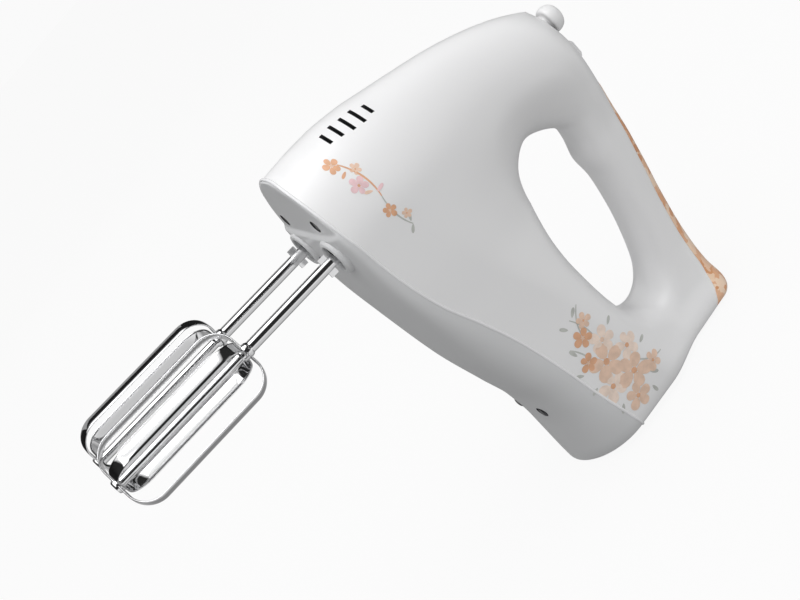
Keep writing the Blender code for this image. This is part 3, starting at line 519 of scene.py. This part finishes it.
# --------------------------------------------------------------------- sole cover
def pan(nu=230, nc=36):
    us = 0.5 * (1 - np.cos(pi * np.linspace(0, 1, nu))) * 0.6 + np.linspace(0, 1, nu) * 0.4
    us = np.sort(np.concatenate([us, np.linspace(0.136, 0.158, 12)]))
    V, rows = [], []
    xa, xb, xp0 = 42.9, float(heel_x(43.4)), float(heel_x(12.4))
    for u in us:
        x1 = xa + (xb - xa) * u
        x2 = xa + (xp0 - xa) * u - 0.8 * (1 - u)
        z1, z2 = float(ease(SEAM_Z, x1)) - 0.3, float(ease(PAN_Z, x2))
        w = max(float(half_width(x1, float(ease(SEAM_Z, x1)) + 0.1)), 0.6)
        e = 2 / float(ease(PAN_E, x1))
        row = []
        for k in range(nc + 1):
            a = 0.5 * pi * k / nc
            s = sin(a) ** e
            row.append((x1 + (x2 - x1) * s, w * (cos(a) ** e if k < nc else 0.0), z1 - (z1 - z2) * s))
        full = row + [(x, -y, z) for x, y, z in reversed(row[:-1])]
        rows.append(list(range(len(V), len(V) + len(full))))
        V += full
    F = []
    m = len(rows[0])
    for p, q in zip(rows[:-1], rows[1:]):
        for k in range(m - 1):
            F.append((p[k], q[k], q[k + 1], p[k + 1]))
        F.append((p[m - 1], q[m - 1], q[0], p[0]))
    F.append(tuple(rows[0]))
    F.append(tuple(reversed(rows[-1])))
    return V, F


sole = mesh_object("sole_shell", *pan(), [SOLE, SOCKET_SHADE], angle=40)
SCREWS = [(17.0, 20.5), (17.0, -20.5), (-138.0, 12.0), (-138.0, -12.0)]
tools = []
for s in (1, -1):
    tools.append(lathe([(0, -24), (6.9, -24), (6.9, -6.6), (0, -6.6)], (0, s * 20.0, 0)))
for x, y in SCREWS:
    zf = float(ease(PAN_Z, x))
    tools.append(lathe([(0, zf - 6), (3.4, zf - 6), (3.4, zf + 1.8), (0, zf + 1.8)], (x, y, 0), seg=40))
# the cut walls take the cutter's near-black material: painted shade in the beater sockets and screw recesses
cut(sole, *join(*tools), [SOCKET_SHADE])
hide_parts("sole_cover")
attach(sole, "body")


def sweep(path, rad, seg=10, closed=False):
    """Round bead along a path."""
    P = np.array(path, float)
    n = len(P)
    V, F = [], []
    for i in range(n):
        t = P[(i + 1) % n] - P[i - 1] if closed or 0 < i < n - 1 else (P[1] - P[0] if i == 0 else P[-1] - P[-2])
        t = t / np.linalg.norm(t)
        a = np.cross(t, (0.0, 0.0, 1.0))
        a /= np.linalg.norm(a)
        b = np.cross(t, a)
        for k in range(seg):
            q = 2 * pi * k / seg
            V.append(P[i] + rad * (cos(q) * a + sin(q) * b))
    for i in range(n if closed else n - 1):
        j = (i + 1) % n
        for k in range(seg):
            k2 = (k + 1) % seg
            F.append((i * seg + k, j * seg + k, j * seg + k2, i * seg + k2))
    if not closed:
        F.append(tuple(range(seg - 1, -1, -1)))
        F.append(tuple((n - 1) * seg + k for k in range(seg)))
    return V, F


line = []
for x in x_b + 1.5 + (x_a - 0.25 - x_b - 1.5) * (1 - (1 - np.linspace(0, 1, 260)) ** 1.7):
    z = float(ease(SEAM_Z, x))
    line.append((float(x), float(half_width(x, z + 0.1)) - 0.30, z - 0.1))
line = line + [(x, -y, z) for x, y, z in reversed(line)]
bead = mesh_object("seam_bead", *sweep(line, 0.85), SEAM)
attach(bead, "body")

for s, tag in ((1, "left"), (-1, "right")):
    ring = fillet([(7.0, -9.0), (7.0, -13.9), (7.6, -14.4), (9.2, -14.0), (9.9, -12.6), (10.1, -9.0)], 0.5)
    col = mesh_object("socket_collar_%s" % tag, *lathe(ring, (0, s * 20.0, 0)), SOLE)
    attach(col, "body")

# ------------------------------------------------------------------ printed strip
STRIP_D = {-170: 21.0, -163: 17.0, -155: 11.5, -145: 8.2, -120: 7.2, -90: 6.4, -65: 5.2, -50: 3.6, -36: 0.6}


def strip_skin(nx=170, ny=26):
    V, F = [], []
    xs = np.linspace(-169.0 + 1.6, -37.0, nx)
    m = 2 * ny + 1
    for lift in (0.30, -0.7):
        for x in xs:
            zt = float(ease(TOP_Z, x))
            dep = float(ease(STRIP_D, x))
            x = max(x, float(heel_x(zt)) + 0.05)
            side = []
            for k in range(ny + 1):
                dz = dep * (k / ny) ** 2
                w = float(half_width(x, zt - dz)) if k else 0.0
                # outward normal of the section, from neighbours
                w2 = float(half_width(x, zt - dz - 0.02))
                w1 = float(half_width(x, zt - dz + 0.02)) if dz > 0.03 else 0.0
                nn = np.array([0.04, (w2 - w1)])
                nn /= max(np.linalg.norm(nn), 1e-9)
                if k == 0:
                    nn = np.array([0.0, 1.0])
                side.append((x, w + nn[0] * lift, zt - dz + nn[1] * lift))
            V += [(a, -b, c) for a, b, c in reversed(side[1:])] + side
    n1 = nx * m
    for i in range(nx - 1):
        for k in range(m - 1):
            F.append((i * m + k, i * m + k + 1, (i + 1) * m + k + 1, (i + 1) * m + k))
            F.append((n1 + i * m + k, n1 + (i + 1) * m + k, n1 + (i + 1) * m + k + 1, n1 + i * m + k + 1))
        for k in (0, m - 1):
            F.append((i * m + k, (i + 1) * m + k, n1 + (i + 1) * m + k, n1 + i * m + k))
    for i in (0, nx - 1):
        for k in range(m - 1):
            F.append((i * m + k, i * m + k + 1, n1 + i * m + k + 1, n1 + i * m + k))
    return V, F


cover = mesh_object("handle_strip", *strip_skin(), STRIP, angle=50)
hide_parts("handle_cover")
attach(cover, "body")

# ---------------------------------------------------------------- printed flowers
rnd = random.Random(7)


def blob(cx, cz, pts):
    """Flat outline in side view laid on both flanks, a hair proud of the shell."""
    n = len(pts)
    out = []
    for s in (1, -1):
        V = [(cx, s * (flank(cx, cz) + 0.09), cz)]
        for q in (0.5, 1.0):
            for a, b in pts:
                x, z = cx + a * q, cz + b * q
                V.append((x, s * (flank(x, z) + (0.08 if q < 1 else 0.05)), z))
        F = []
        for i in range(n):
            j = (i + 1) % n
            F.append((0, 1 + i, 1 + j))
            F.append((1 + i, 1 + n + i, 1 + n + j, 1 + j))
        if s < 0:
            F = [f[::-1] for f in F]
        out.append((V, F))
    return out


def petal(ang, length, width, n=14):
    pts = []
    for k in range(n):
        t = 2 * pi * k / n
        u = length * (0.52 - 0.5 * cos(t))
        v = width * 0.5 * sin(t) * (0.75 + 0.35 * (u / length))
        pts.append((u * cos(ang) - v * sin(ang), u * sin(ang) + v * cos(ang)))
    return pts


inks = {"peach": [], "orange": [], "pale": [], "leaf": [], "pink": []}


def flower(cx, cz, r, a0, ink, core):
    for k in range(5):
        a = a0 + 2 * pi * k / 5 + rnd.uniform(-0.12, 0.12)
        rr = r * rnd.uniform(0.88, 1.08)
        inks[ink] += blob(cx + 0.16 * r * cos(a), cz + 0.16 * r * sin(a), petal(a, rr, rr * 0.86))
    inks[core] += blob(cx, cz, [(0.2 * r * cos(t), 0.2 * r * sin(t)) for t in np.linspace(0, 2 * pi, 11)[:-1]])


def bend(p, q, bow, w, ink):
    """Curved stem as a chain of short strips."""
    p, q = np.array(p, float), np.array(q, float)
    nrm = np.array([-(q - p)[1], (q - p)[0]])
    nrm /= np.linalg.norm(nrm)
    pts = [p + (q - p) * t + nrm * bow * 4 * t * (1 - t) for t in np.linspace(0, 1, 15)]
    for s in (1, -1):
        V, F = [], []
        for i, c in enumerate(pts):
            d = pts[min(i + 1, 14)] - pts[max(i - 1, 0)]
            d /= np.linalg.norm(d)
            e = np.array([-d[1], d[0]]) * w * 0.5 * (0.5 + 0.5 * sin(pi * (i + 1) / 16))
            for g in (c + e, c - e):
                V.append((g[0], s * (flank(g[0], g[1]) + 0.06), g[1]))
        for i in range(14):
            f = (2 * i, 2 * i + 1, 2 * i + 3, 2 * i + 2)
            F.append(f if s > 0 else f[::-1])
        inks[ink].append((V, F))


blooms = [(-131.0, 47.0, 9.2, 0.3, "peach", "orange"), (-146.0, 55.0, 8.6, 0.9, "peach", "orange"),
          (-143.0, 41.5, 7.4, 0.1, "pale", "orange"), (-121.0, 52.5, 6.6, 0.6, "pale", "peach"),
          (-157.5, 48.5, 6.4, 0.4, "peach", "orange"), (-133.5, 60.5, 6.2, 0.2, "pale", "orange"),
          (-112.5, 45.5, 4.6, 0.8, "orange", "peach"), (-106.5, 51.5, 3.6, 0.5, "peach", "orange"),
          (-150.5, 66.0, 4.6, 0.1, "peach", "orange"), (-124.0, 39.5, 4.2, 0.7, "orange", "peach")]
for b in blooms:
    flower(*b)
for p, q, bow in (((-121, 50), (-101, 46), 2.0), ((-112, 46), (-98, 54), -1.6), ((-140, 58), (-152, 74), 2.2),
                  ((-128, 42), (-112, 36.5), 1.5)):
    bend(p, q, bow, 0.8, "leaf")
for cx, cz, a, r in ((-101, 48, 0.9, 5.0), (-104, 42.5, -0.7, 4.8), (-117, 37.5, -0.3, 5.2), (-127, 33.8, -0.9, 4.6),
                     (-153, 61, 2.4, 5.4), (-160, 57.5, 3.0, 4.8), (-139, 67, 1.6, 4.8), (-154, 40, 3.9, 5.2),
                     (-137, 35, 4.5, 4.4), (-118, 59.5, 1.2, 4.6)):
    inks["leaf"] += blob(cx, cz, petal(a, r, r * 0.42))

# small sprig near the nose
bend((31.0, 14.5), (10.0, 17.5), -2.2, 0.9, "orange")
bend((10.0, 17.5), (-9.0, 19.5), 2.0, 0.8, "leaf")
flower(32.0, 12.5, 3.2, 0.2, "orange", "peach")
flower(19.5, 13.8, 3.6, 0.9, "pink", "orange")
flower(25.0, 18.4, 2.4, 0.1, "peach", "orange")
flower(3.0, 15.6, 3.0, 0.5, "orange", "peach")
flower(-3.4, 20.5, 2.2, 0.5, "peach", "orange")
for cx, cz, a, r, ink in ((12.5, 17.6, 1.4, 4.4, "pink"), (14.0, 16.4, -1.1, 4.0, "peach"), (-7.5, 19.5, 0.5, 3.8, "leaf"),
                          (-9.0, 19.4, 3.9, 4.2, "leaf"), (27.0, 14.6, -1.9, 3.6, "orange")):
    inks[ink] += blob(cx, cz, petal(a, r, r * 0.4))
for key, mat in (("leaf", INK_LEAF), ("pale", INK_PALE), ("peach", INK_PEACH), ("orange", INK_ORANGE), ("pink", INK_PINK)):
    deco = mesh_object("flowers_%s" % key, *join(*inks[key]), mat, merge=1e-9)
    lift = {"leaf": 0.0, "pale": 0.00002, "peach": 0.00004, "orange": 0.00006, "pink": 0.00008}[key]
    for v in deco.data.vertices:
        v.co.y += lift if v.co.y > 0 else -lift
    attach(deco, "body")

# ----------------------------------------------------------- button and thumb switch
knob = fillet([(0, 118.0), (2.6, 118.0), (2.6, 134.0), (6.1, 134.0), (6.1, 136.0), (4.6, 137.0), (4.6, 146.6),
               (6.6, 147.2), (7.4, 148.4), (7.4, 151.0), (6.6, 153.4), (4.4, 155.0), (0, 155.3)], 1.2, 6)
button = mesh_object("eject_cap", *lathe(knob, (EJECT_X, 0, 0)), WHITE, angle=50)
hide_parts("eject_button")
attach(button, "eject")
thumb = frame["nodes"]["speed_switch"]
bv = thumb.modifiers.new("edge", 'BEVEL')
bv.width, bv.segments, bv.limit_method, bv.angle_limit = 0.0006, 4, 'ANGLE', radians(25)


# ------------------------------------------------------------------------- beaters
def loop_strip(r, top, bot, ang, corner, y, width=6.4, thick=1.1):
    path = []
    for cx, cz, a0 in ((r - corner, top - corner, 90), (r - corner, bot + corner, 0),
                       (-r + corner, bot + corner, -90), (-r + corner, top - corner, 180)):
        for k in range(19):
            a = radians(a0 - 5 * k)
            path.append((cx + corner * cos(a), cz + corner * sin(a), cos(a), sin(a)))
    full = []
    for i, p in enumerate(path):
        full.append(p)
        q = path[(i + 1) % len(path)]
        if (p[0] - q[0]) ** 2 + (p[1] - q[1]) ** 2 > 9:
            for t in np.linspace(0, 1, 10)[1:-1]:
                full.append((p[0] + (q[0] - p[0]) * t, p[1] + (q[1] - p[1]) * t, p[2], p[3]))
    sec = []
    for k in range(20):
        a = 2 * pi * k / 20
        ca, sa = cos(a), sin(a)
        sec.append((thick * 0.5 * (abs(sa) ** 0.75) * (1 if sa > 0 else -1) - thick * 0.5,
                    width * 0.5 * (abs(ca) ** 0.55) * (1 if ca > 0 else -1)))
    ca, sa = cos(ang), sin(ang)
    V, F = [], []
    for u, z, nu, nz in full:
        for tt, w in sec:
            uu, zz = u + nu * tt, z + nz * tt
            V.append((uu * ca - w * sa, y + uu * sa + w * ca, zz))
    n, m = len(full), len(sec)
    for i in range(n):
        j = (i + 1) % n
        for k in range(m):
            k2 = (k + 1) % m
            F.append((i * m + k, j * m + k, j * m + k2, i * m + k2))
    return V, F


PHASE = {"left": 140.0, "right": 14.0}
for s, tag in ((1, "left"), (-1, "right")):
    y = s * 20.0
    a = radians(PHASE[tag])
    E, T = BEATER_END, BEATER_TOP
    prof = fillet([(0, E - 1.2), (3.0, E - 1.2), (3.5, E - 0.4), (3.5, E + 1.6), (SHAFT_R - 0.5, E + 2.4),
                   (SHAFT_R - 0.5, T - 4.0), (3.3, T - 3.2), (3.7, T), (3.5, T + 1.6), (SHAFT_R, T + 2.4),
                   (SHAFT_R, 4.0), (SHAFT_R - 0.6, 5.0), (SHAFT_R - 0.6, 7.6), (SHAFT_R, 8.6), (SHAFT_R, 16.0),
                   (SHAFT_R - 1.2, 18.0), (0, 18.0)], 0.35, 3)
    ears = slab([(-5.4, -20.5), (5.4, -20.5), (5.4, -16.5), (-5.4, -16.5)], y - 0.7, y + 0.7)
    stem = mesh_object("whisk_%s" % tag, *join(lathe(prof, (0, y, 0), seg=48),
                       loop_strip(BEATER_R, T, E, a, 12.0, y),
                       loop_strip(BEATER_R - 1.25, T - 1.25, E + 1.25, a + pi / 2, 11.0, y), ears),
                       CHROME, angle=44, merge=1e-7)
    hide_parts("beater_%s" % tag)
    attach(stem, "beater_%s" % tag)

# ------------------------------------------------------------------ floor and light
fm, FN, FL, fb = nodes_of("floor_pale")
fb.inputs["Base Color"].default_value = (0.06, 0.06, 0.06, 1)
fb.inputs["Roughness"].default_value = 0.9
fb.inputs["Specular IOR Level"].default_value = 0.0
fb.inputs["Emission Color"].default_value = (1, 1, 1, 1)
fb.inputs["Emission Strength"].default_value = 0.905
bpy.ops.mesh.primitive_plane_add(size=9.0, location=(0.0, 0.0, -0.0004))
floor = bpy.context.object
floor.name = "floor"
floor.data.materials.append(fm)
floor.visible_diffuse = False
floor.visible_glossy = False

world = bpy.data.worlds.new("studio")
bpy.context.scene.world = world
world.use_nodes = True
WN, WL = world.node_tree.nodes, world.node_tree.links
WN.clear()
out = WN.new("ShaderNodeOutputWorld")
plain = WN.new("ShaderNodeBackground")
plain.inputs["Color"].default_value = (0.955, 0.955, 0.955, 1)
room = WN.new("ShaderNodeBackground")
shine = WN.new("ShaderNodeBackground")
lp = WN.new("ShaderNodeLightPath")
mixw = WN.new("ShaderNodeMixShader")
mixg = WN.new("ShaderNodeMixShader")
tc = WN.new("ShaderNodeTexCoord")
sepw = WN.new("ShaderNodeSeparateXYZ")
WL.new(tc.outputs["Generated"], sepw.inputs["Vector"])


def ramp_of(axis, stops):
    mr = WN.new("ShaderNodeMapRange")
    mr.inputs["From Min"].default_value = -1.0
    mr.inputs["From Max"].default_value = 1.0
    WL.new(sepw.outputs[axis], mr.inputs["Value"])
    rr = WN.new("ShaderNodeValToRGB")
    e = rr.color_ramp
    e.elements[0].position, e.elements[0].color = (stops[0][0] + 1) / 2, (stops[0][1],) * 3 + (1,)
    e.elements[1].position, e.elements[1].color = (stops[-1][0] + 1) / 2, (stops[-1][1],) * 3 + (1,)
    for pos, val in stops[1:-1]:
        k = e.elements.new((pos + 1) / 2)
        k.color = (val, val, val, 1)
    WL.new(mr.outputs["Result"], rr.inputs["Fac"])
    return rr.outputs["Color"]


def product(a, b):
    mm = WN.new("ShaderNodeMix")
    mm.data_type, mm.blend_type = 'RGBA', 'MULTIPLY'
    mm.inputs[0].default_value = 1.0
    WL.new(a, mm.inputs[6])
    WL.new(b, mm.inputs[7])
    return mm.outputs[2]


# soft room light: bright above, dim toward the beater side and below
WL.new(product(ramp_of("Z", [(-1, 0.60), (-0.1, 0.63), (0.3, 0.72), (1, 1.0)]),
               ramp_of("X", [(-1, 0.50), (-0.3, 0.80), (0.3, 1.0), (1, 1.0)])), room.inputs["Color"])
# what polished metal mirrors: white panels with black gaps between them
WL.new(product(ramp_of("Z", [(-1, 0.60), (-0.70, 0.62), (-0.45, 0.85), (-0.24, 0.80), (-0.18, 0.03), (0.76, 0.02),
                             (0.84, 0.95), (1, 1.0)]),
               ramp_of("Y", [(-1, 0.9), (-0.5, 1.0), (0.0, 0.9), (0.35, 0.35), (1, 0.5)])), shine.inputs["Color"])
room.inputs["Strength"].default_value = 0.92
WL.new(lp.outputs["Is Glossy Ray"], mixg.inputs["Fac"])
WL.new(room.outputs["Background"], mixg.inputs[1])
WL.new(shine.outputs["Background"], mixg.inputs[2])
WL.new(lp.outputs["Is Camera Ray"], mixw.inputs["Fac"])
WL.new(mixg.outputs["Shader"], mixw.inputs[1])
WL.new(plain.outputs["Background"], mixw.inputs[2])
WL.new(mixw.outputs["Shader"], out.inputs["Surface"])


def lamp(name, loc, target, size, watts, size_y=None):
    d = bpy.data.lights.new(name, 'AREA')
    d.energy = watts
    d.size = size
    if size_y:
        d.shape, d.size_y = 'RECTANGLE', size_y
    o = bpy.data.objects.new(name, d)
    bpy.context.scene.collection.objects.link(o)
    o.location = loc
    o.rotation_euler = (Vector(target) - Vector(loc)).to_track_quat('-Z', 'Y').to_euler()
    return o


mid = (0.02, 0.0, 0.11)
lamp("key", (-0.55, -0.75, 1.05), mid, 0.7, 2.0)
lamp("top", (-0.05, -0.1, 1.25), mid, 0.8, 6.0)
lamp("fill", (0.9, -1.1, 0.45), mid, 0.9, 0.6)
lamp("back", (-0.2, 1.1, 0.6), mid, 0.9, 0.8)

# ---------------------------------------------------------------------------- camera
az, el, roll = radians(22.75), radians(-11.5), radians(42.95)
c = np.array([cos(el) * sin(az), cos(el) * cos(az), sin(el)])
r = np.cross([0, 0, 1.0], c)
r /= np.linalg.norm(r)
u = np.cross(c, r)
right, up = cos(roll) * r + sin(roll) * u, -sin(roll) * r + cos(roll) * u
eye = np.array([-45.3, 0.0, 0.0]) + 604.5 * c
cam = bpy.data.cameras.new("camera")
cam.lens, cam.sensor_width = 56.88, 36.0
cam.clip_start, cam.clip_end = 0.01, 50.0
co = bpy.data.objects.new("camera", cam)
bpy.context.scene.collection.objects.link(co)
mx = Matrix((turn(right), turn(up), turn(c))).transposed().to_4x4()
mx.translation = Vector(stand(eye))
co.matrix_world = mx
bpy.context.scene.camera = co
bpy.context.scene.view_settings.view_transform = 'Standard'
bpy.context.scene.view_settings.look = 'None'

bpy.context.view_layer.update()
